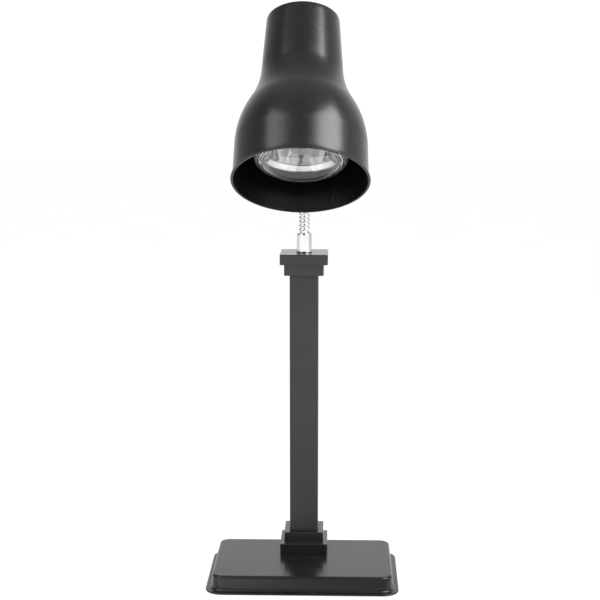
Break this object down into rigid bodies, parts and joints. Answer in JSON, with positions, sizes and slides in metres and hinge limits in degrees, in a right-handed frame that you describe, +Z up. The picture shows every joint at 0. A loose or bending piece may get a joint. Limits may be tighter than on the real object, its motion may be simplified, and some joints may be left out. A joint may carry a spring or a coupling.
{
  "type": "heat lamp warmer",
  "caption": "Countertop food heat lamp: weighted rectangular tray base, square post with stepped cap and foot, bendable neck and bell shade over a reflector bulb.",
  "frame": {"origin": "centre of the underside of the base, on the surface the lamp stands on", "axes": "+Z up, -Y to the front where the shade leans, +X to the right of a person in front"},
  "size_m": [0.264, 0.3102, 0.7919],
  "materials": {
    "tray_paint": "gloss black stove enamel",
    "post_paint": "gloss black stove enamel",
    "step_paint": "gloss black enamel on a casting",
    "shade_paint": "gloss black enamel on spun sheet",
    "cap_paint": "satin black",
    "chrome": "polished chrome plate",
    "zinc_steel": "zinc plated steel",
    "ballast_iron": "as cast",
    "sole_rubber": "matt",
    "lead_rubber": "smooth heat-resistant sleeve",
    "black_nylon": "moulded",
    "switch_plastic": "glossy moulded",
    "white_block": "moulded",
    "brass": "plain",
    "porcelain": "glazed",
    "clear_glass": "clear",
    "mirror_coat": "vapour-coated aluminium",
    "black_glass": "vitrite",
    "tungsten": "drawn wire"
  },
  "bodies": {
    "stand": {"base_shell": "tray_paint", "base_ballast": "ballast_iron", "base_bottom_plate": "zinc_steel", "base_pad": "sole_rubber", "bottom_plate_screws": "zinc_steel", "cord_gland": "black_nylon", "gland_nut": "black_nylon", "terminal_block": "white_block", "terminal_screws": "brass", "post_foot": "step_paint", "post_tube": "post_paint", "post_cap": "step_paint", "tie_pipe": "zinc_steel", "tie_washer": "zinc_steel", "tie_nut": "zinc_steel", "neck_collar": "chrome", "stem_lead": "lead_rubber", "neck_lead": "lead_rubber"},
    "link_01": {"neck_link_01": "chrome"},
    "link_02": {"neck_link_02": "chrome"},
    "link_03": {"neck_link_03": "chrome"},
    "link_04": {"neck_link_04": "chrome"},
    "link_05": {"neck_link_05": "chrome"},
    "link_06": {"neck_link_06": "chrome"},
    "link_07": {"neck_link_07": "chrome"},
    "link_08": {"neck_link_08": "chrome"},
    "link_09": {"neck_link_09": "chrome"},
    "link_10": {"neck_link_10": "chrome"},
    "link_11": {"neck_link_11": "chrome"},
    "link_12": {"neck_link_12": "chrome"},
    "link_13": {"neck_link_13": "chrome"},
    "link_14": {"neck_link_14": "chrome"},
    "link_15": {"neck_link_15": "chrome"},
    "link_16": {"neck_link_16": "chrome"},
    "link_17": {"neck_link_17": "chrome"},
    "link_18": {"neck_link_18": "chrome"},
    "head": {"neck_ferrule_top": "chrome", "saddle_washer": "chrome", "ferrule_lock_nut": "zinc_steel", "shade_shell": "shade_paint", "neck_top_cap": "cap_paint", "top_cap_screws": "zinc_steel", "switch_body": "switch_plastic", "switch_terminals": "brass", "lampholder_body": "porcelain", "lampholder_shell": "brass", "lampholder_contact": "brass", "lampholder_bracket": "zinc_steel", "holder_screws": "zinc_steel", "bulb_glass": "clear_glass", "bulb_reflector": "mirror_coat", "bulb_cap": "brass", "bulb_insulator": "black_glass", "bulb_contact": "brass", "filament": "tungsten", "filament_supports": "clear_glass", "head_lead": "lead_rubber"},
    "rocker": {"switch_rocker": "switch_plastic"}
  },
  "joints": [
    {"name": "neck_pitch_01", "type": "hinge", "parent": "stand", "child": "link_01", "pos_m": [0, 0.047, 0.4803], "axis": [1, 0, 0], "range_deg": [-6, 4], "deforming": ["neck_lead"]},
    {"name": "neck_side_01", "type": "hinge", "parent": "link_01", "child": "link_02", "pos_m": [0, 0.047, 0.4918], "axis": [0, 1, 0], "range_deg": [-6, 6]},
    {"name": "neck_pitch_02", "type": "hinge", "parent": "link_02", "child": "link_03", "pos_m": [0, 0.047, 0.5033], "axis": [1, 0, 0], "range_deg": [-6, 4]},
    {"name": "neck_side_02", "type": "hinge", "parent": "link_03", "child": "link_04", "pos_m": [0, 0.047, 0.5148], "axis": [0, 1, 0], "range_deg": [-6, 6]},
    {"name": "neck_pitch_03", "type": "hinge", "parent": "link_04", "child": "link_05", "pos_m": [0, 0.047, 0.5263], "axis": [1, 0, 0], "range_deg": [-6, 4]},
    {"name": "neck_side_03", "type": "hinge", "parent": "link_05", "child": "link_06", "pos_m": [0, 0.047, 0.5378], "axis": [0, 1, 0], "range_deg": [-6, 6]},
    {"name": "neck_pitch_04", "type": "hinge", "parent": "link_06", "child": "link_07", "pos_m": [0, 0.047, 0.5493], "axis": [1, 0, 0], "range_deg": [-6, 4]},
    {"name": "neck_side_04", "type": "hinge", "parent": "link_07", "child": "link_08", "pos_m": [0, 0.047, 0.5608], "axis": [0, 1, 0], "range_deg": [-6, 6]},
    {"name": "neck_pitch_05", "type": "hinge", "parent": "link_08", "child": "link_09", "pos_m": [0, 0.047, 0.5723], "axis": [1, 0, 0], "range_deg": [-6, 4]},
    {"name": "neck_side_05", "type": "hinge", "parent": "link_09", "child": "link_10", "pos_m": [0, 0.047, 0.5838], "axis": [0, 1, 0], "range_deg": [-6, 6]},
    {"name": "neck_pitch_06", "type": "hinge", "parent": "link_10", "child": "link_11", "pos_m": [0, 0.047, 0.5953], "axis": [1, 0, 0], "range_deg": [-6, 4]},
    {"name": "neck_side_06", "type": "hinge", "parent": "link_11", "child": "link_12", "pos_m": [0, 0.047, 0.6068], "axis": [0, 1, 0], "range_deg": [-6, 6]},
    {"name": "neck_pitch_07", "type": "hinge", "parent": "link_12", "child": "link_13", "pos_m": [0, 0.047, 0.6183], "axis": [1, 0, 0], "range_deg": [-6, 4]},
    {"name": "neck_side_07", "type": "hinge", "parent": "link_13", "child": "link_14", "pos_m": [0, 0.04603, 0.62975], "axis": [0, 0.9859, 0.1676], "range_deg": [-6, 6]},
    {"name": "neck_pitch_08", "type": "hinge", "parent": "link_14", "child": "link_15", "pos_m": [0, 0.04316, 0.64087], "axis": [1, 0, 0], "range_deg": [-6, 4]},
    {"name": "neck_side_08", "type": "hinge", "parent": "link_15", "child": "link_16", "pos_m": [0, 0.03847, 0.65136], "axis": [0, 0.875, 0.484], "range_deg": [-6, 6]},
    {"name": "neck_pitch_09", "type": "hinge", "parent": "link_16", "child": "link_17", "pos_m": [0, 0.03208, 0.66091], "axis": [1, 0, 0], "range_deg": [-6, 4]},
    {"name": "neck_side_09", "type": "hinge", "parent": "link_17", "child": "link_18", "pos_m": [0, 0.02418, 0.66926], "axis": [0, 0.6659, 0.7461], "range_deg": [-6, 6]},
    {"name": "neck_pitch_10", "type": "hinge", "parent": "link_18", "child": "head", "pos_m": [0, 0.01499, 0.67616], "axis": [1, 0, 0], "range_deg": [-6, 4]},
    {"name": "switch_rocker_tilt", "type": "hinge", "parent": "head", "child": "rocker", "pos_m": [0, -0.01904, 0.76515], "axis": [-1, 0, 0], "range_deg": [0, 18]}
  ],
  "couplings": [
    {"joint": "neck_pitch_02", "follows": "neck_pitch_01", "ratio": 1},
    {"joint": "neck_side_02", "follows": "neck_side_01", "ratio": 1},
    {"joint": "neck_pitch_03", "follows": "neck_pitch_01", "ratio": 1},
    {"joint": "neck_side_03", "follows": "neck_side_01", "ratio": 1},
    {"joint": "neck_pitch_04", "follows": "neck_pitch_01", "ratio": 1},
    {"joint": "neck_side_05", "follows": "neck_side_04", "ratio": 1},
    {"joint": "neck_pitch_06", "follows": "neck_pitch_05", "ratio": 1},
    {"joint": "neck_side_06", "follows": "neck_side_04", "ratio": 1},
    {"joint": "neck_pitch_07", "follows": "neck_pitch_05", "ratio": 1},
    {"joint": "neck_side_08", "follows": "neck_side_07", "ratio": 1},
    {"joint": "neck_pitch_09", "follows": "neck_pitch_08", "ratio": 1},
    {"joint": "neck_side_09", "follows": "neck_side_07", "ratio": 1},
    {"joint": "neck_pitch_10", "follows": "neck_pitch_08", "ratio": 1}
  ]
}
